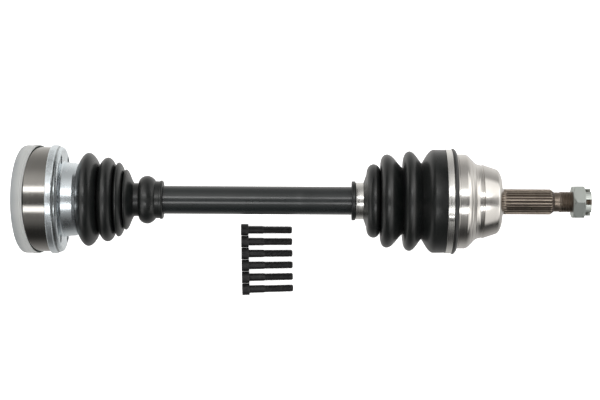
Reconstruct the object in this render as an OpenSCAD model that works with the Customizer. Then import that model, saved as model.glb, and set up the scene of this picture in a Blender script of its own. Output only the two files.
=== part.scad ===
// Drive axle with a plunging joint that bolts to a gearbox flange and a fixed joint that carries the wheel
// hub's stub. The origin is the centre of the gearbox-side face of the inner joint ring, +X runs along the
// shaft to the wheel end, and +Z is up. Dimensions are in millimetres.

/* [Inner joint] */
// Radius of the inner joint ring
ring_r = 50; // [49.5:0.1:50.3]
// Width of the inner joint ring
ring_w = 31; // [30:0.5:32]
// Pitch circle diameter of the six flange bolts
bolt_pcd = 86; // [85:0.5:87]
// Radius of each flange bolt hole
bolt_hole_r = 4.2; // [4:0.1:4.5]
// Radius of the balls' track in the inner joint
inner_track_r = 28.5; // [28:0.1:29]
// Distance of the inner joint's centre from the gearbox face
inner_centre = 17; // [16:0.5:18]

/* [Outer joint] */
// Distance of the outer joint's centre from the gearbox face
outer_centre = 411; // [405:1:415]
// Radius of the balls' track in the outer joint
outer_track_r = 27.5; // [27:0.1:28]
// Largest turned radius of the bell
bell_r = 45.1; // [44.5:0.1:45.5]
// Radius of the bell's waist
waist_r = 35.3; // [35:0.1:37]
// Distance of the bell's end face from the gearbox face
bell_end = 449.8; // [449:0.1:451]

/* [Balls] */
// Radius of every ball
ball_r = 7.94; // [7.5:0.01:8]
// Gap between a ball and a groove that it tips in
groove_gap = 1.0; // [0.9:0.1:1.2]

/* [Shaft] */
// Radius of the bare shaft
shaft_r = 13.5; // [13:0.1:14]
// Radius of the shaft's splined ends
spline_end_r = 11.5; // [11:0.1:12]

/* [Stub and nut] */
// Outer radius of the stub's splines
stub_r = 12.1; // [11.8:0.1:12.4]
// Number of splines on the stub
stub_teeth = 26; // [22:1:30]
// Radius of the stub's thread
thread_r = 10; // [9.5:0.5:10]
// Distance of the stub's tip from the gearbox face
stub_tip = 536; // [534:1:538]
// Width of the nut across its flats
nut_flats = 30; // [29:0.5:31]

/* [Boots] */
// Wall thickness of both boots
boot_wall = 2; // [1.5:0.1:2.2]
// Radius of the outer boot's large end
boot_end_r = 49.4; // [49:0.1:50]

/* [Cap] */
// Angle at which the shipping cap's face sits on the ring
cap_tilt = 6; // [5:0.5:6.5]
// Angle of the cap's open edge
rim_tilt = 10.3; // [9:0.1:11]
// Outer radius of the cap's wall
cap_r = 51.9; // [51.8:0.1:52]

/* [Loose bolts] */
// Length of a bolt under its head
bolt_length = 43; // [40:1:45]
// Radius of a bolt's head
bolt_head_r = 5.8; // [5.5:0.1:5.8]
// Height of a bolt's head
bolt_head_h = 7.4; // [7:0.1:8]
// Spacing of the bolts on the bench
bolt_pitch = 11.7; // [11.7:0.1:13]

/* [Hidden] */
$fn = 96;

seat_r = ring_r - 1.3;
seat_x = 21.1;
inner_bore_r = inner_track_r + 3.8;
inner_cage_r = inner_bore_r - 0.3;
inner_star_half = 9.5;
outer_star_half = 10.5;
outer_cavity_r = 30.8;
outer_cage_r = outer_cavity_r - 0.4;
outer_star_r = 25.2;
window_r = ball_r + 0.1;
window_spread = 2.2;
groove_r = ball_r + groove_gap;
mouth_x = 392.5;
sheet = 1.4;
nut_x = 518;
nut_hex_h = 11.5;
nut_crown_h = 5.8;
floor_z = -52.3;

// Each boot is a row of stops [x, radius, fullness]: the wall runs from valley to crest on a sine, and a
// fullness under 1 makes the crest rounder and the valley sharper.
inner_folds = [
    [46.5, 32.6, 1], [55.8, 44.8, 0.75], [66.4, 29.5, 0.65], [74.2, 40.3, 0.52], [81.4, 28.5, 0.43],
    [84.4, 35.6, 0.6], [89.6, 24, 0.45], [91.6, 29, 0.5], [99.6, 15.9, 1.6], [104, 15.9, 1],
    [112, 23, 0.4], [120, 17.8, 0.75]
];
outer_folds = [
    [321.6, 18.6, 1], [328.6, 35.3, 0.2], [335, 26, 0.37], [341.2, 44.7, 0.16], [356.6, 31.5, 1.4],
    [362.6, 47.7, 0.2], [374.1, 36.3, 1.2], [385.6, boot_end_r, 1.1]
];
FOLD_STEPS = 5;

// How far each step of a fold lies from its valley, from 0 to 1, closer together on a steep flank
function from_valley(i, rising, fullness) =
    pow(rising ? i / FOLD_STEPS : 1 - i / FOLD_STEPS, 1 + max(0, 1 - fullness));
// The wall's outside between two stops
function fold(a, b) = [
    for (i = [1:FOLD_STEPS])
        let (rising = b[1] > a[1], near = from_valley(i, rising, b[2]), share = pow(sin(90 * near), b[2]))
            [min(a[1], b[1]) + abs(b[1] - a[1]) * share, a[0] + (b[0] - a[0]) * (rising ? near : 1 - near)]
];
// The wall's inside: each point moves square to the outside by the wall, or by less where a fold is narrow
function fold_inside(a, b) =
    let (rising = b[1] > a[1], side = rising ? 1 : -1, outside = fold(a, b), run = b[0] - a[0],
         depth = min(boot_wall, 0.35 * run), half = boot_wall / 2)
    concat(
        rising ? [[a[1] - boot_wall, a[0] + min(half, 0.3 * run)]] : [],
        [for (i = [1:rising ? FOLD_STEPS : FOLD_STEPS - 1])
            let (angle = 90 * from_valley(i, rising, b[2]),
                 slope = b[2] * pow(sin(angle), b[2] - 1) * cos(angle) * PI / 2,
                 lean = atan(slope * abs(b[1] - a[1]) / run))
                outside[i - 1] + depth * [-cos(lean), side * sin(lean)]],
        rising ? [] : [[b[1] - boot_wall, b[0] - min(half, 0.3 * run)]]
    );
// A whole bellows, outside and inside
function bellows(stops) = [for (i = [0:len(stops) - 2]) for (p = fold(stops[i], stops[i + 1])) p];
function bellows_inside(stops) = [for (i = [0:len(stops) - 2]) for (p = fold_inside(stops[i], stops[i + 1])) p];
function backwards(list) = [for (i = [len(list) - 1:-1:0]) list[i]];

// Turns an outline of [radius, x] points about the shaft's axis
module turned(outline) {
    rotate([0, 90, 0]) rotate_extrude() polygon(outline);
}

// A cylinder along +X that starts at x
module bar(r, x, length) {
    translate([x, 0, 0]) rotate([0, 90, 0]) cylinder(r = r, h = length);
}

// A sphere whose poles lie on the shaft's axis
module axial_sphere(r, x) {
    translate([x, 0, 0]) rotate([0, 90, 0]) sphere(r = r);
}

// Repeats its child around the shaft's axis
module around(count, first = 0) {
    for (i = [0:count - 1]) rotate([first + i * 360 / count, 0, 0]) children();
}

// Six ball tracks bent round a joint's centre, from its mouth to an angle behind its middle
module curved_tracks(centre, r, behind) {
    around(6) translate([centre, 0, 0]) rotate([0, 0, 90 - behind])
        rotate_extrude(angle = behind + 52) translate([outer_track_r, 0]) circle(r = r, $fn = 48);
}

// A cage window, wider round the joint than along it
module window(centre, track) {
    translate([centre, 0, 0]) rotate([-90, 0, 0]) {
        for (side = [-1, 1]) translate([0, side * window_spread, track / 2]) cylinder(r = window_r, h = track);
        translate([-window_r, -window_spread, track / 2]) cube([2 * window_r, 2 * window_spread, track]);
    }
}

module joint_ball(centre, track, index) {
    rotate([(index - 1) * 60, 0, 0]) translate([centre, track, 0]) sphere(r = ball_r);
}

// A split spring ring
module circlip(x, inner, outer, width) {
    difference() {
        turned([[inner, x], [outer, x], [outer, x + width], [inner, x + width]]);
        translate([x - 1, -1.5, 0]) cube([width + 2, 3, outer + 1]);
    }
}

// A spring washer, coned by its own rise
module dished_washer(x, inner, outer, thick, rise) {
    turned([[inner, x], [outer, x + rise], [outer, x + rise + thick], [inner, x + thick]]);
}

module shipping_cap() {
    wall = 0.9;
    face_x = -6.5;
    corner = 3;
    rim_x = 9.2;
    color("lightsteelblue") translate([0, 0, -1]) difference() {
        union() {
            rotate([0, -cap_tilt, 0]) turned([
                [0, face_x], [cap_r - corner, face_x],
                for (a = [0:15:90]) [cap_r - corner + corner * sin(a), face_x + corner - corner * cos(a)],
                [cap_r, 26], [0, 26]
            ]);
            translate([rim_x, 0, 0]) rotate([0, -rim_tilt, 0]) turned([
                [cap_r - wall, -5], [cap_r + 0.1, -5], [cap_r + 0.4, -4.2],
                [cap_r + 0.4, -2.2], [cap_r + 0.1, -1.4], [cap_r - wall, -1.4]
            ]);
        }
        rotate([0, -cap_tilt, 0]) turned([
            [0, face_x + wall], [cap_r - corner - wall, face_x + wall],
            [cap_r - wall, face_x + corner], [cap_r - wall, 30], [0, 30]
        ]);
        translate([rim_x, 0, 0]) rotate([0, -rim_tilt, 0]) translate([0, -80, -80]) cube([60, 160, 160]);
    }
}

module inner_joint_ring() {
    chamfer = 1;
    color("gainsboro") difference() {
        turned([
            [inner_bore_r, 0], [ring_r - chamfer, 0], [ring_r, chamfer], [ring_r, seat_x],
            [seat_r, seat_x], [seat_r, ring_w - 1.7], [seat_r - 1.7, ring_w], [inner_bore_r, ring_w]
        ]);
        around(6, 30) translate([0, bolt_pcd / 2, 0]) bar(bolt_hole_r, -1, ring_w + 2);
        around(6) translate([0, inner_track_r, 0]) bar(groove_r, -1, ring_w + 2);
    }
}

module boot_adapter() {
    fit_r = seat_r + 0.05;
    outer_r = fit_r + sheet + 0.5;
    corner = 3.6;
    face_x = ring_w + sheet;
    neck_r = 35.7;
    lip_r = 51.9;
    neck_end = 46.5;
    color("silver") difference() {
        turned([
            [fit_r, 21.2], [lip_r - 0.6, 21.2], [lip_r, 21.9], [lip_r, 26.6], [outer_r + 0.4, 27.5],
            for (a = [0:15:90]) [outer_r - corner + corner * cos(a), face_x - corner + corner * sin(a)],
            [neck_r + 1, face_x], [neck_r, face_x + 1], [neck_r - 0.9, neck_end - 2.9],
            [neck_r - 1.9, neck_end], [neck_r - 1.9 - sheet, neck_end],
            [neck_r - 0.9 - sheet, neck_end - 2.9], [neck_r - 0.3 - sheet, ring_w],
            [fit_r - 1.6, ring_w], [fit_r, ring_w - 1.6]
        ]);
        around(6, 30) translate([0, bolt_pcd / 2, 0]) bar(bolt_hole_r, ring_w - 1, sheet + 2);
    }
}

module inner_boot() {
    seat = 33.65;
    bore = shaft_r + 0.3;
    collar_r = 17.8;
    end_x = 127.4;
    outline = bellows(inner_folds);
    hollow = backwards(bellows_inside(inner_folds));
    color([0.1, 0.1, 0.1]) turned(concat(
        [[seat - boot_wall, 33], [seat, 33], [seat - 0.5, 42.5], [inner_folds[0][1] - 0.4, 46.6]],
        outline,
        [[collar_r, 124], [collar_r + 0.7, 124.6], [collar_r + 0.7, 126.2], [collar_r - 0.3, end_x],
         [bore, end_x], [bore, 119]],
        [for (p = hollow) if (p[1] < 119) [max(p[0], bore), p[1]]],
        [[seat - boot_wall - 2, 44]]
    ));
}

module inner_star() {
    width = inner_star_half;
    star_r = 25.3;
    color("darkgray") difference() {
        intersection() {
            axial_sphere(star_r, inner_centre);
            bar(star_r + 1, inner_centre - width, 2 * width);
        }
        bar(spline_end_r, 0, 40);
        around(6) translate([0, inner_track_r, 0]) bar(ball_r + 0.15, 0, 40);
    }
}

module inner_cage() {
    half = 11;
    inside_r = 26;
    color("lightgray") difference() {
        intersection() {
            axial_sphere(inner_cage_r, inner_centre);
            bar(inner_cage_r + 1, inner_centre - half, 2 * half);
        }
        bar(inside_r, 0, 40);
        around(6) window(inner_centre, inner_track_r);
    }
}

module inner_ball(index) {
    color("white") joint_ball(inner_centre, inner_track_r, index);
}

module inner_circlip() {
    color("dimgray") circlip(inner_centre - inner_star_half - 1.8, 10.3, 13, 1.6);
}

module inner_dished_washer() {
    color("dimgray") dished_washer(inner_centre + inner_star_half, spline_end_r + 0.1, 16.5, 1.4, 0.6);
}

module axle_shaft() {
    tip = 1.2;
    groove = 10.2;
    near = inner_centre - inner_star_half;
    far = outer_centre + outer_star_half;
    shoulder_near = inner_centre + inner_star_half + 2.1;
    shoulder_far = outer_centre - outer_star_half - 4.1;
    color([0.12, 0.12, 0.13]) turned([
        [0, near - 4.5], [spline_end_r - tip, near - 4.5], [spline_end_r, near - 4.5 + tip],
        [spline_end_r, near - 1.9], [groove, near - 1.9], [groove, near - 0.1],
        [spline_end_r, near - 0.1], [spline_end_r, shoulder_near], [shaft_r, shoulder_near],
        [shaft_r, shoulder_far], [spline_end_r, shoulder_far], [spline_end_r, far + 0.1],
        [groove, far + 0.1], [groove, far + 1.9], [spline_end_r, far + 1.9],
        [spline_end_r, far + 3.2], [spline_end_r - tip, far + 4.4], [0, far + 4.4]
    ]);
}

module outer_star() {
    color("darkgray") difference() {
        intersection() {
            axial_sphere(outer_star_r, outer_centre);
            bar(outer_star_r + 1, outer_centre - outer_star_half, 2 * outer_star_half);
        }
        bar(spline_end_r, outer_centre - 20, 40);
        curved_tracks(outer_centre, groove_r, 50);
    }
}

module outer_cage() {
    half = 14;
    color("lightgray") difference() {
        intersection() {
            axial_sphere(outer_cage_r, outer_centre);
            bar(outer_cage_r + 1, outer_centre - half, 2 * half);
        }
        axial_sphere(outer_star_r + 0.3, outer_centre);
        around(6) window(outer_centre, outer_track_r);
    }
}

module outer_ball(index) {
    color("white") joint_ball(outer_centre, outer_track_r, index);
}

module outer_circlip() {
    color("dimgray") circlip(outer_centre + outer_star_half + 0.2, 10.3, 13, 1.6);
}

module outer_thrust_washer() {
    x = outer_centre - outer_star_half - 2;
    inner = spline_end_r + 0.1;
    color("ivory") turned([[inner, x], [16.5, x], [16.5, x + 1.9], [inner, x + 1.9]]);
}

module outer_dished_washer() {
    color("dimgray") dished_washer(outer_centre - outer_star_half - 4, spline_end_r + 0.1, 16, 1.2, 0.6);
}

module outer_boot() {
    small_x = 307.5;
    neck_r = 16.9;
    lip_r = 18.7;
    bore = bell_r + 0.3;
    outline = bellows(outer_folds);
    hollow = backwards(bellows_inside(outer_folds));
    color([0.1, 0.1, 0.1]) turned(concat(
        [[shaft_r, small_x], [lip_r - 0.5, small_x], [lip_r, small_x + 0.6], [lip_r, 310.8],
         [neck_r, 311.4], [neck_r, 319.1], [lip_r, 319.6], [lip_r, 321.4]],
        outline,
        [[boot_end_r, 396.2], [boot_end_r - 0.6, 396.5], [boot_end_r - 0.6, 402.9], [50.7, 403.2],
         [48.2, 406.8], [bore, 407.2], [bore, 390.5], [bore - 2, 389.5]],
        [for (p = hollow) if (p[1] < 388) [max(p[0], shaft_r), p[1]]],
        [[shaft_r + 2, 322], [shaft_r, 321]]
    ));
}

// A steel band with the raised ear that tightens it
module band(x, inner, thick, width) {
    ear = 2;
    turned([[inner, x], [inner + thick, x], [inner + thick, x + width], [inner, x + width]]);
    difference() {
        translate([x + 0.4, -3.5, -inner - thick - ear]) cube([width - 0.8, 7, ear + thick]);
        bar(inner, x - 1, width + 2);
        translate([x - 1, -2.5, -inner - thick - ear + 0.8]) cube([width + 2, 5, ear - 0.8 + thick / 2]);
    }
}

module boot_small_clamp() {
    color("silver") band(311.6, 16.9, 0.6, 7.3);
}

module boot_large_clamp() {
    color("silver") rotate([197, 0, 0]) band(396.7, boot_end_r - 0.3, 0.7, 6);
}

// One straight-sided spline, drawn as four points a tooth
module splines(r, depth, teeth, length) {
    pitch = 360 / teeth;
    linear_extrude(height = length) polygon([
        for (i = [0:teeth - 1], p = [[-0.36, depth], [-0.2, 0], [0.2, 0], [0.36, depth]])
            (r - p[1]) * [cos((i + p[0]) * pitch), sin((i + p[0]) * pitch)]
    ]);
}

module outer_housing() {
    spline_x = 453;
    relief_x = 500.6;
    thread_x = 506.3;
    shoulder_end = 429;
    mouth_r = 36.5;
    color("gainsboro") {
        difference() {
            turned([
                [0, mouth_x], [bell_r - 1, mouth_x], [bell_r, mouth_x + 1], [bell_r, 414.8],
                for (t = [0.1:0.1:1])
                    [waist_r + (bell_r - waist_r) * (1 + cos(180 * t)) / 2, 414.8 + (shoulder_end - 414.8) * t],
                [waist_r, 430], [waist_r - 0.6, 430.4], [waist_r - 0.6, 431.4], [waist_r, 431.8],
                [waist_r, 432.5], [30.8, 445.9], [29.6, 447.4], [24.9, bell_end], [18, bell_end],
                [14.5, 451], [stub_r, spline_x - 0.5], [10.5, spline_x + 1], [0, spline_x + 1]
            ]);
            axial_sphere(outer_cavity_r, outer_centre);
            turned([[0, mouth_x - 1], [mouth_r + 0.9, mouth_x - 1], [29.4, outer_centre - 11], [0, outer_centre - 11]]);
            curved_tracks(outer_centre, groove_r, 38);
        }
        intersection() {
            translate([spline_x, 0, 0]) rotate([0, 90, 0]) splines(stub_r, 1.1, stub_teeth, relief_x - spline_x);
            turned([
                [0, spline_x], [stub_r + 1, spline_x], [stub_r + 1, relief_x - 3],
                [9.3, relief_x], [0, relief_x]
            ]);
        }
        turned([
            [0, relief_x], [9.3, relief_x], [9.3, thread_x - 0.7], [thread_r, thread_x],
            [thread_r, stub_tip - 1.2], [thread_r - 1.2, stub_tip], [0, stub_tip]
        ]);
    }
}

module axle_nut() {
    corner_r = nut_flats / 2 / cos(30);
    crown_r = 13;
    slot = 5;
    color("darkseagreen") difference() {
        union() {
            intersection() {
                translate([nut_x, 0, 0]) rotate([0, 90, 0]) cylinder(r = corner_r, h = nut_hex_h, $fn = 6);
                turned([
                    [0, nut_x], [nut_flats / 2 - 0.2, nut_x], [corner_r, nut_x + 3],
                    [corner_r, nut_x + nut_hex_h - 1.2], [nut_flats / 2 - 0.2, nut_x + nut_hex_h],
                    [0, nut_x + nut_hex_h]
                ]);
            }
            bar(crown_r, nut_x + nut_hex_h, nut_crown_h);
        }
        bar(thread_r + 0.05, nut_x - 1, 30);
        around(3) translate([nut_x + nut_hex_h + 0.4, -slot / 2, -20]) cube([10, slot, 40]);
    }
}

// A cap screw lying along +X, with its head's underside at the origin
module cap_screw() {
    shank_r = 3.8;
    thread_r = 3.65;
    plain = 14;
    difference() {
        turned([
            [0, -bolt_head_h], [bolt_head_r - 0.6, -bolt_head_h], [bolt_head_r, 0.6 - bolt_head_h],
            [bolt_head_r, 0], [shank_r, 0], [shank_r, plain], [thread_r, plain + 0.4],
            [thread_r, bolt_length - 1.2], [thread_r - 1, bolt_length], [0, bolt_length]
        ]);
        translate([-bolt_head_h - 1, 0, 0]) rotate([0, 90, 0]) cylinder(r = 3.4, h = 5, $fn = 12);
    }
}

module flange_bolts() {
    head_x = 207;
    first_y = -29.2;
    droop = 2.6;
    color([0.08, 0.08, 0.08]) for (i = [0:5])
        translate([head_x + 0.3 * i, first_y - bolt_pitch * i, floor_z + bolt_head_r])
            rotate([0, droop, 0.34 * i]) cap_screw();
}

shipping_cap();
inner_joint_ring();
boot_adapter();
inner_boot();
inner_star();
inner_cage();
for (i = [1:6]) inner_ball(i);
inner_circlip();
inner_dished_washer();
axle_shaft();
outer_star();
outer_cage();
for (i = [1:6]) outer_ball(i);
outer_circlip();
outer_thrust_washer();
outer_dished_washer();
outer_boot();
boot_small_clamp();
boot_large_clamp();
outer_housing();
axle_nut();
flange_bolts();
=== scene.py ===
"""The looks of a drive axle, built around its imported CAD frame. The script's lengths are in metres, and the
outlines, which repeat the CAD's turned shapes, are in millimetres from the gearbox face."""

import math

import bmesh
import bpy
import numpy as np
from mathutils import Matrix, Vector

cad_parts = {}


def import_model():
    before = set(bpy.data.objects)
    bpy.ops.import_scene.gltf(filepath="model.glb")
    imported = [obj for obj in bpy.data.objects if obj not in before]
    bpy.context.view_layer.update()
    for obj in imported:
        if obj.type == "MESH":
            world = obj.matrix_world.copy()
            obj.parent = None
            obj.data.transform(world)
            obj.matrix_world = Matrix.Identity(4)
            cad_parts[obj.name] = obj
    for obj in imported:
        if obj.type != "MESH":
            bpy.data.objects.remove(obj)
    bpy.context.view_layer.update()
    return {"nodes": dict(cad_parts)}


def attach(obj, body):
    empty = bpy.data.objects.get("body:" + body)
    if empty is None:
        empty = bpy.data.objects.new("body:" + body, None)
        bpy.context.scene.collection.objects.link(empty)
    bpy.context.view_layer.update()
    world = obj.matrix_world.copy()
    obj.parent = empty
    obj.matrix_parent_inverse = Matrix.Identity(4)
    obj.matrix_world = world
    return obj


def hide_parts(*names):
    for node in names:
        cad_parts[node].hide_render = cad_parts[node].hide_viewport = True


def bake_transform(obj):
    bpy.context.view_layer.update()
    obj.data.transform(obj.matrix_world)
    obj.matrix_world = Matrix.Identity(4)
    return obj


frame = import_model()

MM = 0.001

# Millimetres: the shaft's radius, the boots' wall, the valley where the inner boot's two lengths meet, and the
# crease behind the adapter's lip, where shade is painted on the zinc
SHAFT_R = 13.5
BOOT_WALL = 2.0
SEAM_X = 81.4
CREASE_X = 28.7


# ---- Mesh helpers ----------------------------------------------------------------------------------------

def piece(name, verts, faces, material, sharp=32):
    """A new object from points in metres, smooth but for its sharp edges, which are given as an angle."""
    mesh = bpy.data.meshes.new(name)
    mesh.from_pydata([tuple(v) for v in verts], [], faces)
    shape = bmesh.new()
    shape.from_mesh(mesh)
    bmesh.ops.remove_doubles(shape, verts=shape.verts, dist=1e-7)
    bmesh.ops.recalc_face_normals(shape, faces=shape.faces)
    shape.to_mesh(mesh)
    shape.free()
    for polygon in mesh.polygons:
        polygon.use_smooth = True
    mesh.set_sharp_from_angle(angle=math.radians(sharp))
    mesh.materials.append(material)
    made = bpy.data.objects.new(name, mesh)
    bpy.context.scene.collection.objects.link(made)
    return made


def grid_faces(rows, columns, wrap_rows=False):
    """Quads between rows of points, each row closed round the axis."""
    last = rows if wrap_rows else rows - 1
    return [
        (i * columns + j, i * columns + (j + 1) % columns,
         (i + 1) % rows * columns + (j + 1) % columns, (i + 1) % rows * columns + j)
        for i in range(last) for j in range(columns)
    ]


def lathe(name, outline, material, around=192, sharp=32, warp=None):
    """Turns a closed outline of (x, radius) points in millimetres about the shaft's axis."""
    angles = np.arange(around) * 2 * math.pi / around
    verts = [
        Vector((x, r * math.cos(a), r * math.sin(a))) * MM for x, r in outline for a in angles
    ]
    if warp:
        verts = [warp(v) for v in verts]
    return piece(name, verts, grid_faces(len(outline), around, wrap_rows=True), material, sharp)


def rounded(corners, steps=4):
    """Rounds the corners of a closed outline. A corner is (x, radius) or (x, radius, size of the rounding)."""
    points = []
    for i, corner in enumerate(corners):
        here = Vector(corner[:2])
        if len(corner) < 3:
            points.append(tuple(here))
            continue
        before = Vector(corners[i - 1][:2]) - here
        after = Vector(corners[(i + 1) % len(corners)][:2]) - here
        reach = min(corner[2], before.length * 0.45, after.length * 0.45)
        start, end = here + before.normalized() * reach, here + after.normalized() * reach
        for k in range(steps + 1):
            t = k / steps
            points.append(tuple(start * (1 - t) ** 2 + here * 2 * t * (1 - t) + end * t * t))
    return points


def radial(name, xs, columns, radius, material, sharp=32):
    """A closed bar along the axis, from a radius in millimetres for each x and angle."""
    angles = [2 * math.pi * j / columns for j in range(columns)]
    verts = [
        Vector((x, radius(x, a) * math.cos(a), radius(x, a) * math.sin(a))) * MM for x in xs for a in angles
    ]
    faces = grid_faces(len(xs), columns)
    faces += [tuple(range(columns))[::-1], tuple(range((len(xs) - 1) * columns, len(xs) * columns))]
    return piece(name, verts, faces, material, sharp)


def stations(start, end, step):
    """Evenly spaced places along the axis, both ends included."""
    return list(np.linspace(start, end, max(2, round((end - start) / step) + 1)))


# ---- Material helpers ------------------------------------------------------------------------------------

class Surface:
    """A node material on the object's own coordinates, with helpers that add one node each."""

    def __init__(self, name, colour, metallic, roughness):
        self.material = bpy.data.materials.new(name)
        self.material.use_nodes = True
        self.tree = self.material.node_tree
        self.shader = self.tree.nodes["Principled BSDF"]
        self.shader.inputs["Base Color"].default_value = (*colour, 1)
        self.shader.inputs["Metallic"].default_value = metallic
        self.shader.inputs["Roughness"].default_value = roughness
        self.colour = colour
        self.place = self.add("ShaderNodeTexCoord").outputs["Object"]

    def add(self, kind, **settings):
        made = self.tree.nodes.new(kind)
        for key, value in settings.items():
            setattr(made, key, value)
        return made

    def feed(self, socket, value):
        if isinstance(value, bpy.types.NodeSocket):
            self.tree.links.new(value, socket)
        else:
            socket.default_value = value

    def math(self, operation, a, b=0.0):
        made = self.add("ShaderNodeMath", operation=operation)
        self.feed(made.inputs[0], a)
        self.feed(made.inputs[1], b)
        return made.outputs[0]

    def turned_place(self, along, around):
        """Coordinates that run along the axis and the radius, and slowly round it, so that noise on them
        makes tool marks."""
        x, y, z = self.axes()
        join = self.add("ShaderNodeCombineXYZ")
        self.feed(join.inputs[0], self.math("MULTIPLY", x, along))
        self.feed(join.inputs[1], self.math("MULTIPLY", self.radius(), along))
        self.feed(join.inputs[2], self.math("MULTIPLY", self.math("ARCTAN2", z, y), around))
        return join.outputs[0]

    def axes(self):
        """The place's X, Y and Z."""
        split = self.add("ShaderNodeSeparateXYZ")
        self.feed(split.inputs[0], self.place)
        return split.outputs["X"], split.outputs["Y"], split.outputs["Z"]

    def radius(self):
        """The distance from the axle's axis."""
        _, y, z = self.axes()
        return self.math("SQRT", self.math("ADD", self.math("MULTIPLY", y, y), self.math("MULTIPLY", z, z)))

    def noise(self, scale, detail=3, place=None):
        made = self.add("ShaderNodeTexNoise")
        self.feed(made.inputs["Vector"], place or self.place)
        made.inputs["Scale"].default_value = scale
        made.inputs["Detail"].default_value = detail
        return made.outputs["Fac"]

    def spread(self, value, low, high, start=0.3, end=0.7):
        """Maps a value, which is a noise unless its start and end are given, onto a range."""
        made = self.add("ShaderNodeMapRange")
        self.feed(made.inputs["Value"], value)
        for key, number in (("From Min", start), ("From Max", end), ("To Min", low), ("To Max", high)):
            made.inputs[key].default_value = number
        return made.outputs[0]

    def tint(self, factor, other):
        """Mixes the colour with another one."""
        made = self.add("ShaderNodeMix", data_type="RGBA")
        self.feed(made.inputs["Factor"], factor)
        made.inputs[6].default_value = (*self.colour, 1)
        made.inputs[7].default_value = (*other, 1)
        self.feed(self.shader.inputs["Base Color"], made.outputs[2])

    def roughness(self, value):
        self.feed(self.shader.inputs["Roughness"], value)

    def bump(self, height, depth, strength=1.0):
        """Adds relief, whose depth is in metres."""
        made = self.add("ShaderNodeBump")
        made.inputs["Strength"].default_value = strength
        made.inputs["Distance"].default_value = depth
        self.feed(made.inputs["Height"], height)
        if self.shader.inputs["Normal"].links:
            self.feed(made.inputs["Normal"], self.shader.inputs["Normal"].links[0].from_socket)
        self.feed(self.shader.inputs["Normal"], made.outputs["Normal"])


def turned_metal(name, colour, rough, marks, stain, depth=1.5e-5):
    """Metal that a lathe or grinder has finished: fine rings, and a faint stain."""
    s = Surface(name, colour, 1.0, rough)
    rings = s.noise(1.0, 4, s.turned_place(marks, 1.2))
    s.bump(rings, depth, 0.6)
    s.roughness(s.spread(rings, rough * 0.75, rough * 1.3))
    s.tint(s.spread(s.noise(38, 4), 0.0, 0.55, 0.42, 0.75), stain)
    return s.material


def zinc_plate():
    """Bright zinc plating, mottled at the pressed flange's edge, with painted shade in the groove behind its
    lip.
    """
    s = Surface("zinc_plate", (0.86, 0.93, 0.97), 1.0, 0.3)
    s.roughness(s.spread(s.noise(60, 5), 0.2, 0.36))
    edge = s.spread(s.radius(), 0.0, 1.0, 0.0415, 0.0455)
    blotch = s.spread(s.noise(210, 5), 0.0, 1.0, 0.42, 0.62)
    mottled = s.math("MULTIPLY", s.math("MULTIPLY", edge, blotch), 0.4)
    stain = s.spread(s.noise(25, 5), 0.0, 0.3, 0.4, 0.7)
    # Painted shade: a dark ring, broken up by noise, is painted in the groove behind the lip, near the
    # flange's rim.
    away = s.math("ABSOLUTE", s.math("SUBTRACT", s.axes()[0], CREASE_X * MM))
    crease_shade = s.math("MULTIPLY", s.spread(away, 0.95, 0.0, 0.0005, 0.0013), s.spread(s.noise(120, 4), 1.0, 0.5))
    crease_shade = s.math("MULTIPLY", crease_shade, edge)
    # The one dark colour serves both the real mottling and stains and the painted shade in the groove.
    soiled = s.math("MULTIPLY", s.math("MAXIMUM", mottled, stain), 0.55)
    s.tint(s.math("MAXIMUM", soiled, crease_shade), (0.13, 0.14, 0.13))
    s.bump(s.noise(160, 4), 0.9e-4, 0.6)
    return s.material


def dark_splines():
    """Burnished steel with rust spots, and painted shade in the splines' roots."""
    s = Surface("dark_splines", (0.30, 0.255, 0.21), 1.0, 0.34)
    s.roughness(s.spread(s.noise(1.0, 4, s.turned_place(900, 1.2)), 0.26, 0.42))
    rust = s.spread(s.noise(90, 5), 0.0, 0.5, 0.42, 0.7)
    # Painted shade: the colour darkens below the teeth's tips, in the roots between the splines; the same dark
    # colour serves the rust.
    root = s.spread(s.radius(), 1.0, 0.0, 0.0112, 0.0119)
    s.tint(s.math("MAXIMUM", root, rust), (0.1, 0.082, 0.07))
    s.bump(s.noise(900, 3), 1.5e-5, 0.5)
    return s.material


def rubber():
    """Black rubber with a dull bloom."""
    s = Surface("boot_rubber", (0.005, 0.0062, 0.006), 0.0, 0.33)
    s.shader.inputs["Specular IOR Level"].default_value = 0.6
    s.roughness(s.spread(s.noise(45, 5), 0.27, 0.4))
    s.tint(s.spread(s.noise(70, 5), 0.0, 0.6, 0.45, 0.8), (0.015, 0.015, 0.0145))
    s.bump(s.noise(1500, 3), 2.5e-5, 0.5)
    return s.material


def shaft_paint():
    """Black paint under a clear coat, with a faint turned texture."""
    s = Surface("shaft_paint", (0.009, 0.0115, 0.012), 0.0, 0.3)
    s.shader.inputs["Coat Weight"].default_value = 0.6
    s.shader.inputs["Coat Roughness"].default_value = 0.14
    s.roughness(s.spread(s.noise(1.0, 3, s.turned_place(25, 2)), 0.24, 0.34))
    s.tint(s.spread(s.noise(30, 4), 0.0, 0.5, 0.45, 0.8), (0.018, 0.02, 0.021))
    s.bump(s.noise(700, 3), 4e-6, 0.4)
    return s.material


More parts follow.
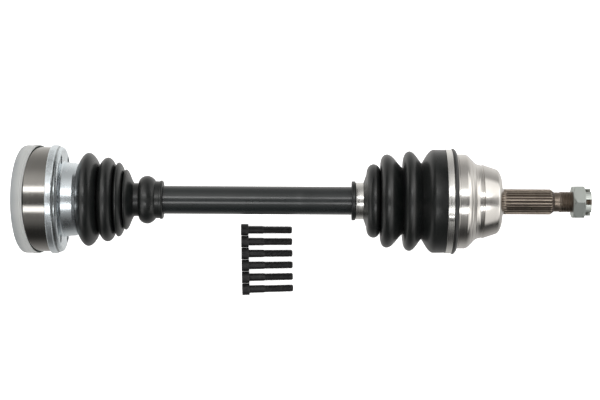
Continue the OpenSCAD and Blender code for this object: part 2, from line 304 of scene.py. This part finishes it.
def cap_plastic():
    """Frosted plastic that lets a little light through, with painted shade on its face where only air lies
    behind it.
    """
    s = Surface("cap_plastic", (0.385, 0.395, 0.39), 0.0, 0.34)
    s.shader.inputs["Subsurface Weight"].default_value = 0.25
    s.shader.inputs["Subsurface Scale"].default_value = 0.004
    s.shader.inputs["Subsurface Radius"].default_value = (0.9, 1.0, 1.0)
    s.roughness(s.spread(s.noise(80, 4), 0.3, 0.48))
    # Painted shade: the face and its rounded corner are darkened, standing in for the hollow seen through the
    # plastic, with noise to break up the boundary.
    x, _, z = s.axes()
    depth = s.math("ADD", x, s.math("MULTIPLY", z, 0.12))
    shade_edge_noise = s.math("MULTIPLY", s.math("SUBTRACT", s.noise(30, 4), 0.5), 0.006)
    s.tint(s.spread(s.math("ADD", depth, shade_edge_noise), 1.0, 0.0, -0.0055, 0.0015), (0.235, 0.25, 0.26))
    s.bump(s.noise(300, 4), 4e-5, 0.4)
    return s.material


def black_oxide():
    """The loose screws' blackened steel."""
    s = Surface("black_oxide", (0.012, 0.012, 0.013), 0.35, 0.42)
    s.roughness(s.spread(s.noise(300, 4), 0.34, 0.52))
    s.tint(s.spread(s.noise(240, 4), 0.0, 0.6, 0.5, 0.8), (0.04, 0.038, 0.036))
    s.bump(s.noise(1800, 3), 2e-5, 0.4)
    return s.material


def plain_plastic():
    """The thrust washer's pale plastic."""
    s = Surface("thrust_plastic", (0.78, 0.74, 0.62), 0.0, 0.5)
    s.tint(s.spread(s.noise(200, 3), 0.0, 0.5), (0.7, 0.66, 0.54))
    s.bump(s.noise(1200, 2), 2e-5, 0.4)
    return s.material


GROUND = turned_metal("ground_steel", (0.345, 0.335, 0.315), 0.16, 2600, (0.29, 0.28, 0.26), 4e-6)
TURNED = turned_metal("turned_steel", (0.68, 0.66, 0.63), 0.19, 1500, (0.56, 0.535, 0.5), 3e-6)
BURNISHED = turned_metal("burnished_steel", (0.235, 0.195, 0.16), 0.34, 900, (0.13, 0.11, 0.095))
STAINLESS = turned_metal("stainless_band", (0.84, 0.83, 0.8), 0.24, 900, (0.74, 0.73, 0.7), 5e-6)
NUT_ZINC = turned_metal("nut_zinc", (0.54, 0.575, 0.545), 0.42, 800, (0.44, 0.48, 0.44))
CAGE_STEEL = turned_metal("cage_steel", (0.40, 0.40, 0.40), 0.32, 900, (0.3, 0.3, 0.3))
BALL_STEEL = turned_metal("ball_steel", (0.75, 0.75, 0.77), 0.08, 300, (0.7, 0.7, 0.72), 1e-6)
SPRING = turned_metal("spring_steel", (0.16, 0.16, 0.17), 0.4, 900, (0.1, 0.1, 0.1))
ZINC, RUBBER, PAINT, CAP = zinc_plate(), rubber(), shaft_paint(), cap_plastic()
SPLINE = dark_splines()
OXIDE, PLASTIC = black_oxide(), plain_plastic()


# ---- Pieces ----------------------------------------------------------------------------------------------

def stand_in(made, body, slot, *nodes):
    """Rides a piece on its body and hides the CAD nodes that it stands for."""
    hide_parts(*nodes)
    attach(made, body)


def fold(a, b, steps):
    """The bellows wall between two stops (x, radius, fullness), as rows of (x, radius, slope), without the
    first. The wall leaves its valley on a sine, and a fullness under 1 makes the crest rounder."""
    rows = []
    rising = b[1] > a[1]
    run, rise, full = b[0] - a[0], abs(b[1] - a[1]), b[2]
    for i in range(1, steps + 1):
        near = (i / steps if rising else 1 - i / steps) ** (1 + max(0, 1 - full))
        angle = math.pi / 2 * near
        t = near if rising else 1 - near
        slope = full * max(math.sin(angle), 1e-9) ** (full - 1) * math.cos(angle) * math.pi / 2 * rise / run
        rows.append((a[0] + run * t, min(a[1], b[1]) + rise * math.sin(angle) ** full, slope))
    return rows


def fold_inside(a, b, steps, least):
    """The wall's inside between two stops, square to its outside and thinner where the fold is narrow."""
    rising = b[1] > a[1]
    side, run = (1 if rising else -1), b[0] - a[0]
    depth, half = min(BOOT_WALL, 0.35 * run), min(BOOT_WALL / 2, 0.3 * run)
    points = [(a[0] + half, a[1] - BOOT_WALL)] if rising else []
    for x, r, slope in fold(a, b, steps)[:None if rising else -1]:
        lean = math.atan(slope)
        points.append((x + depth * side * math.sin(lean), r - depth * math.cos(lean)))
    if not rising:
        points.append((b[0] - half, b[1] - BOOT_WALL))
    return [(x, max(r, least)) for x, r in points]


def bellows(stops, steps=14):
    """The outside of a bellows, without its first stop."""
    return [row[:2] for a, b in zip(stops, stops[1:]) for row in fold(a, b, steps)]


def bellows_inside(stops, least, steps=14):
    """The inside of a bellows, from its far end back to its near one."""
    return [p for a, b in zip(stops, stops[1:]) for p in fold_inside(a, b, steps, least)][::-1]


def inner_boot():
    """The bend and the plunge each have their own length of boot, which meet in a valley."""
    bend_stops = [
        (46.5, 32.6, 1), (55.8, 44.8, 0.75), (66.4, 29.5, 0.65), (74.2, 40.3, 0.52), (SEAM_X, 28.5, 0.43),
    ]
    slide_stops = [
        (SEAM_X, 28.5, 1), (84.4, 35.6, 0.6), (89.6, 24, 0.45), (91.6, 29, 0.5), (99.6, 15.9, 1.6),
        (104, 15.9, 1), (112, 23, 0.4), (120, 17.8, 0.75),
    ]
    outline = [(33, 31.6), (33, 33.6), (42.5, 33.1), (46.6, 32.2)] + bellows(bend_stops)
    outline += bellows_inside(bend_stops, 0) + [(44, 29.6)]
    bending = lathe("inner_boot_folds", outline, RUBBER, sharp=50)
    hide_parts("inner_boot")
    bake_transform(bending)

    collar = rounded([(124, 17.8, 0.4), (124.5, 18.5, 0.5), (126.3, 18.5, 0.5), (127.4, 17.4, 0.6)])
    outline = [(SEAM_X, 28.5)] + bellows(slide_stops) + collar + [(127.4, SHAFT_R + 0.2), (119, SHAFT_R + 0.2)]
    outline += [p for p in bellows_inside(slide_stops, SHAFT_R + 0.2) if p[0] < 119] + [(SEAM_X, 26.5)]
    sliding = lathe("inner_boot_neck", outline, RUBBER, sharp=50)
    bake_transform(sliding)


def outer_boot():
    """The bellows over the ball joint, from its small clamp to its large one."""
    end_r = 49.4
    stops = [
        (321.6, 18.7, 1), (328.6, 35.3, 0.2), (335, 26, 0.37), (341.2, 44.7, 0.16), (356.6, 31.5, 1.4),
        (362.6, 47.7, 0.2), (374.1, 36.3, 1.2), (385.6, end_r, 1.1),
    ]
    small_end = rounded([
        (307.5, SHAFT_R + 0.1), (307.5, 18.8, 0.8), (310.9, 18.8, 0.8), (311.5, 16.9), (319.1, 16.9),
        (319.6, 18.7, 0.5),
    ])
    large_end = rounded([
        (396.2, end_r, 0.3), (396.6, 48.8), (402.8, 48.8), (403.1, 50.7, 0.5), (404.8, 50.4, 1),
        (406.9, 48.0, 0.8), (407.2, 45.3, 0.4), (391, 45.3, 0.5), (389, 43.2, 0.5),
    ])
    outline = small_end + bellows(stops) + large_end + bellows_inside(stops, SHAFT_R + 0.1)
    made = lathe("outer_boot_folds", outline + [(321, SHAFT_R + 0.1)], RUBBER, sharp=50)
    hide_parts("outer_boot")
    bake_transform(made)


def clamp(name, x, width, inner_r, thick, ear_angle, body, node):
    """A steel band and the crimped ear that tightens it."""
    outline = rounded([
        (x, inner_r), (x, inner_r + thick, 0.3), (x + width, inner_r + thick, 0.3), (x + width, inner_r),
    ])
    band = lathe(name, outline, STAINLESS, around=160)
    stand_in(band, body, "clamp_steel", node)
    path = [(-4.2, 0.1), (-3.4, 0.5), (-2.9, 1.6), (-2.2, 2.0), (2.2, 2.0), (2.9, 1.6), (3.4, 0.5), (4.2, 0.1)]
    base = inner_r + thick
    verts = []
    for side, rise in path:
        for depth in (0, -0.55):
            for place in (x + 0.5, x + width - 0.5):
                verts.append((place * MM, side * MM, (base + rise + depth) * MM))
    faces = []
    for i in range(len(path) - 1):
        a, b = 4 * i, 4 * i + 4
        faces += [
            (a, a + 1, b + 1, b), (a + 2, b + 2, b + 3, a + 3),
            (a, b, b + 2, a + 2), (a + 1, a + 3, b + 3, b + 1),
        ]
    last = 4 * len(path) - 4
    faces += [(0, 2, 3, 1), (last, last + 1, last + 3, last + 2)]
    ear = piece(name + "_ear", verts, faces, STAINLESS, sharp=50)
    ear.data.transform(Matrix.Rotation(math.radians(ear_angle), 4, "X"))
    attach(ear, body)


def shipping_cap():
    """A thin moulded cap that sits crooked, with a lip whose edge is more crooked still."""
    face_x, rim_x, outer_r, thick = -6.5, 9.2, 51.8, 0.9
    face_tilt, rim_tilt = math.radians(6), math.radians(10.3)
    tilt = Matrix.Translation((0, 0, -MM)) @ Matrix.Rotation(-face_tilt, 4, "Y")
    lean = math.tan(rim_tilt) - math.tan(face_tilt)

    def crooked(v):
        share = min(1, max(0, (v.x / MM - face_x) / (rim_x - face_x)))
        return tilt @ Vector((v.x - lean * share * v.z, v.y, v.z))

    outline = rounded([
        (face_x, 0), (face_x, 40), (face_x, outer_r, 4.5), (4.5, outer_r, 0.5), (5.1, outer_r + 0.55, 0.5),
        (7.1, outer_r + 0.55, 0.5), (7.7, outer_r, 0.4), (rim_x, outer_r, 0.3), (rim_x, outer_r - thick, 0.3),
        (face_x + thick, outer_r - thick, 4), (face_x + thick, 0),
    ], 6)
    made = lathe("moulded_cap", outline, CAP, warp=crooked)
    stand_in(made, "cap", "cap_plastic", "shipping_cap")


def bell():
    """The turned bell, with the rounded shoulder, the waist and the stub's root."""
    bell_r, waist_r, mouth_x, shoulder, slope_run = 45.1, 35.3, 392.5, 414.8, 14.2
    tool_marks, mark_depth = (0.4, 0.68), 0.28
    slope = []
    for t in np.arange(0.04, 1.01, 0.04):
        mark = mark_depth if round(t, 2) in tool_marks else 0
        radius = waist_r + (bell_r - waist_r) * (1 + math.cos(math.pi * t)) / 2 - mark
        slope.append((shoulder + slope_run * t, radius))
    outline = rounded([
        (mouth_x, 37.4, 0.6), (mouth_x, bell_r, 0.8), (407.9, bell_r), (408.2, bell_r - 0.15), (408.5, bell_r),
        (shoulder, bell_r),
    ] + slope + [
        (430, waist_r), (430.5, waist_r - 0.8), (431.6, waist_r - 0.8), (432.1, waist_r + 0.1, 0.3),
        (445.9, 30.8, 1.2), (447.6, 29.3, 1.0), (449.8, 24.9, 1.0), (449.8, 18, 0.5), (451, 14.5, 1.5),
        (453.2, 11.4), (454, 10.6), (454, 0), (440, 0), (438, 10), (434, 20), (428, 26), (420, 29.4),
        (411, 30.8), (400, 29.4),
    ])
    made = lathe("bell", outline, TURNED, around=256, sharp=24)
    stand_in(made, "wheel_end", "housing_steel", "outer_housing")


def stub():
    """The stub's splines, relief and screw thread."""
    teeth, tip_r, root_r = 26, 12.1, 11.05
    start, end = 452.6, 500.6

    def spline_radius(x, a):
        share = (a * teeth / (2 * math.pi)) % 1.0
        away = abs(share - 0.5) * 2
        tooth = min(1, max(0, (away - 0.32) / 0.3))
        root = root_r + (tip_r - root_r) * max(0, 1 - (x - start) / 4.0) ** 2
        tip = tip_r - 2.6 * max(0, (x - (end - 3.2)) / 3.2)
        return min(tip, root + (tip_r - root) * tooth)

    splines = radial("stub_splines", stations(start, end, 0.8), teeth * 16, spline_radius, SPLINE, sharp=40)
    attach(splines, "wheel_end")

    pitch, depth, major_r, relief_r, relief_end, thread_start, tip = 1.5, 0.85, 10, 9.3, 505.8, 506.3, 536.0

    def thread_radius(x, a):
        if x < relief_end:
            return relief_r
        phase = (x / pitch - a / (2 * math.pi)) % 1.0
        groove = depth * max(0, 1 - abs(phase - 0.5) * 2.3)
        fade = min(1, max(0, (x - thread_start) / 2))
        chamfer = 1.4 * max(0, (x - (tip - 1.4)) / 1.4)
        relief = 0.7 * max(0, 1 - (x - thread_start + 0.4) / 0.8) if x < thread_start + 0.4 else 0
        return min(major_r - groove * fade - relief, major_r - chamfer)

    xs = [500.4, 505.4] + stations(relief_end, tip, 0.15)
    thread = radial("stub_thread", xs, 96, thread_radius, BURNISHED)
    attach(thread, "wheel_end")


def with_bevels(node, name, material, slot, body, width):
    """The CAD node's own shape with its edges broken, as a machined piece has them."""
    mesh = frame["nodes"][node].data.copy()
    made = bpy.data.objects.new(name, mesh)
    bpy.context.scene.collection.objects.link(made)
    shape = bmesh.new()
    shape.from_mesh(mesh)
    bmesh.ops.remove_doubles(shape, verts=shape.verts, dist=1e-6)
    bmesh.ops.dissolve_limit(shape, angle_limit=math.radians(1), verts=shape.verts, edges=shape.edges)
    shape.to_mesh(mesh)
    shape.free()
    mesh.materials.clear()
    mesh.materials.append(material)
    edges = made.modifiers.new("edges", "BEVEL")
    edges.width = width
    edges.segments = 2
    edges.limit_method = "ANGLE"
    edges.angle_limit = math.radians(28)
    edges.harden_normals = True
    stand_in(made, body, slot, node)


def cap_screws():
    """Six cap screws on the bench, each with a knurled head, a socket, a plain shank and a thread."""
    head_r, head_h, shank_r, major_r, length, plain = 5.8, 7.4, 3.8, 3.75, 43.0, 14.0
    pitch, depth = 1.25, 0.6
    turns, count, spacing = 36, 6, 11.7
    xs = [-head_h, -head_h, 0.55 - head_h, 0.56 - head_h, -0.5, -0.01, 0.0, 0.3]
    xs += [plain - 0.3] + stations(plain, length, 0.2)

    def radius(i, x, a):
        if i == 0:
            return 3.3
        if i == 1:
            return head_r - 0.55
        if x < 0:
            knurl = 0.1 * (math.sin(a * 30) > 0) if 0.5 - head_h < x < -0.3 else 0
            return head_r - knurl - (0.3 if x > -0.05 else 0)
        if x < plain:
            return shank_r + (0.35 if x == 0 else 0)
        phase = (x / pitch - a / (2 * math.pi)) % 1.0
        cut = depth * max(0, 1 - abs(phase - 0.5) * 2.3) * min(1, (x - plain) / 1.5)
        return min(major_r - cut, major_r - 1.2 * max(0, (x - length + 1.3) / 1.3))

    angles = [2 * math.pi * j / turns for j in range(turns)]
    socket = [(-head_h + 4.2, 3.2), (-head_h + 4.8, 0.0)]
    rows = [[(x, r) for _ in angles] for x, r in reversed(socket)]
    rows += [[(x, radius(i, x, a)) for a in angles] for i, x in enumerate(xs)]
    rows += [[(length, 0.0) for _ in angles]]
    base = [
        Vector((x, r * math.cos(a), r * math.sin(a))) * MM for row in rows for (x, r), a in zip(row, angles)
    ]
    faces, verts = [], []
    for k in range(count):
        lay = (
            Matrix.Translation(Vector((207 + 0.3 * k, -29.2 - spacing * k, -46.5)) * MM)
            @ Matrix.Rotation(math.radians(0.34 * k), 4, "Z")
            @ Matrix.Rotation(math.radians(2.6), 4, "Y")
        )
        first = len(verts)
        verts += [lay @ v for v in base]
        faces += [tuple(first + i for i in f) for f in grid_faces(len(rows), turns)]
    made = piece("cap_screws", verts, faces, OXIDE, sharp=40)
    stand_in(made, "loose_bolts", "bolt_oxide", "flange_bolts")


def dress_cad():
    """Better materials on the CAD nodes that show or that lie inside the joints."""
    plain = {
        "inner_joint_ring": GROUND, "boot_adapter": ZINC, "axle_shaft": PAINT, "inner_star": CAGE_STEEL,
        "outer_star": CAGE_STEEL, "inner_cage": CAGE_STEEL, "outer_cage": CAGE_STEEL, "inner_circlip": SPRING,
        "outer_circlip": SPRING, "inner_dished_washer": SPRING, "outer_dished_washer": SPRING,
        "outer_thrust_washer": PLASTIC,
    }
    plain |= {f"{side}_ball_{i}": BALL_STEEL for side in ("inner", "outer") for i in range(1, 7)}
    for node, material in plain.items():
        mesh = frame["nodes"][node].data
        mesh.materials.clear()
        mesh.materials.append(material)


# ---- Stage -----------------------------------------------------------------------------------------------

FLOOR_Z = -0.0524
FOCUS = Vector((0.2582, 0.0005, 0))
FRAME_WIDTH = 0.5748
VIEW_DISTANCE = 1.571


def camera():
    """Straight above the axle, a touch to its wheel end, and turned by a third of a degree."""
    lens = bpy.data.cameras.new("camera")
    lens.sensor_width = 36
    lens.lens = lens.sensor_width * VIEW_DISTANCE / FRAME_WIDTH
    lens.clip_end = 20
    made = bpy.data.objects.new("camera", lens)
    lean, roll = math.radians(0.6), math.radians(0.33)
    made.matrix_world = (
        Matrix.Translation(FOCUS) @ Matrix.Rotation(lean, 4, "Y") @ Matrix.Rotation(roll, 4, "Z")
        @ Matrix.Translation((0, 0, VIEW_DISTANCE))
    )
    bpy.context.scene.collection.objects.link(made)
    bpy.context.scene.camera = made


def strip_light(name, side, near, far, radiance):
    """A long strip beside the camera, parallel to the shaft, that spans two angles off the vertical."""
    height, length = 1.15, 2.2
    inner, outer = (height * math.tan(math.radians(angle)) for angle in (near, far))
    light = bpy.data.lights.new(name, "AREA")
    light.shape = "RECTANGLE"
    light.size, light.size_y = length, outer - inner
    light.energy = radiance * math.pi * length * (outer - inner)
    made = bpy.data.objects.new(name, light)
    made.location = FOCUS + Vector((0, side * (inner + outer) / 2, height))
    bpy.context.scene.collection.objects.link(made)


def flag():
    """A black card across the studio's middle, met by reflections alone, that keeps the boots' flanks dark."""
    s = Surface("flag_card", (0.01, 0.01, 0.01), 0.0, 0.9)
    s.roughness(s.spread(s.noise(4, 3), 0.8, 1.0))
    x, low, high, half = FOCUS.x, 0.06, 1.3, 1.5
    verts = [(x, -half, low), (x, half, low), (x, half, high), (x, -half, high)]
    made = piece("flag", verts, [(0, 1, 2, 3)], s.material)
    made.visible_camera = made.visible_diffuse = made.visible_shadow = made.visible_transmission = False


def floor():
    """A pale table that is a little lit from within, so that shadows stay faint. Metal reflects the studio's
    grey bench instead, which the world holds."""
    half = 4.0
    s = Surface("table", (0.86, 0.86, 0.86), 0.0, 0.8)
    s.shader.inputs["Specular IOR Level"].default_value = 0.1
    s.roughness(s.spread(s.noise(4, 3), 0.75, 0.9))
    s.shader.inputs["Emission Color"].default_value = (1, 1, 1, 1)
    far = s.add("ShaderNodeVectorMath", operation="LENGTH")
    s.feed(far.inputs[0], s.place)
    s.feed(s.shader.inputs["Emission Strength"], s.spread(far.outputs["Value"], 0.85, 0.35, 0.35, 1.3))
    verts = [(sx * half, sy * half, FLOOR_Z) for sx, sy in ((-1, -1), (1, -1), (1, 1), (-1, 1))]
    made = piece("table", verts, [(0, 1, 2, 3)], s.material)
    made.visible_glossy = False


def world():
    """A studio: mid grey on the +Y side, near black on the other, bright past both ends and at the corners
    above them, and pale below."""
    sky = bpy.data.worlds.new("studio")
    sky.use_nodes = True
    tree = sky.node_tree
    split = tree.nodes.new("ShaderNodeSeparateXYZ")
    tree.links.new(tree.nodes.new("ShaderNodeTexCoord").outputs["Generated"], split.inputs[0])

    def ramp(socket, start, end, low, high):
        made = tree.nodes.new("ShaderNodeMapRange")
        made.interpolation_type = "SMOOTHSTEP"
        tree.links.new(socket, made.inputs["Value"])
        for key, number in (("From Min", start), ("From Max", end), ("To Min", low), ("To Max", high)):
            made.inputs[key].default_value = number
        return made.outputs[0]

    def combine(operation, a, b):
        made = tree.nodes.new("ShaderNodeMath")
        made.operation = operation
        tree.links.new(a, made.inputs[0])
        tree.links.new(b, made.inputs[1])
        return made.outputs[0]

    aside = combine("MULTIPLY", split.outputs["Y"], split.outputs["Y"])
    back = ramp(split.outputs["Y"], -0.35, 0.5, 0.045, 0.44)
    above = combine("MULTIPLY", ramp(aside, 0.05, 0.25, 0, 1), ramp(split.outputs["Z"], 0.25, 0.8, 0, 0.42))
    above = combine("MULTIPLY", above, ramp(split.outputs["Y"], -0.3, 0.3, 0.6, 1))
    below = ramp(split.outputs["Z"], 0.02, -0.95, 0.0, 0.5)
    across = combine("MULTIPLY", split.outputs["X"], split.outputs["X"])
    ends = combine("MULTIPLY", ramp(across, 0.42, 0.7, 0, 1.8), ramp(split.outputs["Z"], -0.15, 0.3, 0.2, 1))
    ends = combine("MULTIPLY", ends, ramp(aside, 0.0, 0.09, 0.45, 1))
    corners = combine("MULTIPLY", ramp(across, 0.1, 0.24, 0, 0.9), ramp(split.outputs["Z"], 0.0, 0.25, 0, 1))
    corners = combine("MULTIPLY", corners, ramp(aside, 0.02, 0.1, 0, 1))
    ends = combine("MAXIMUM", ends, corners)
    level = combine("ADD", combine("ADD", combine("ADD", back, above), below), ends)
    tree.nodes["Background"].inputs["Color"].default_value = (1, 0.985, 0.965, 1)
    tree.links.new(level, tree.nodes["Background"].inputs["Strength"])
    bpy.context.scene.world = sky


camera()
shipping_cap()
inner_boot()
outer_boot()
clamp("small_clamp_band", 311.6, 7.3, 16.95, 0.6, 180, "shaft", "boot_small_clamp")
clamp("large_clamp_band", 396.7, 6.0, 49.1, 0.7, 17, "wheel_end", "boot_large_clamp")
bell()
stub()
cap_screws()
with_bevels("axle_nut", "castle_nut", NUT_ZINC, "nut_zinc", "nut", 0.0005)
dress_cad()
strip_light("strip_back", 1, 15, 26.5, 3.6)
strip_light("strip_front", -1, 15.5, 27.7, 3.6)
flag()
floor()
world()
bpy.context.scene.view_settings.view_transform = "Standard"
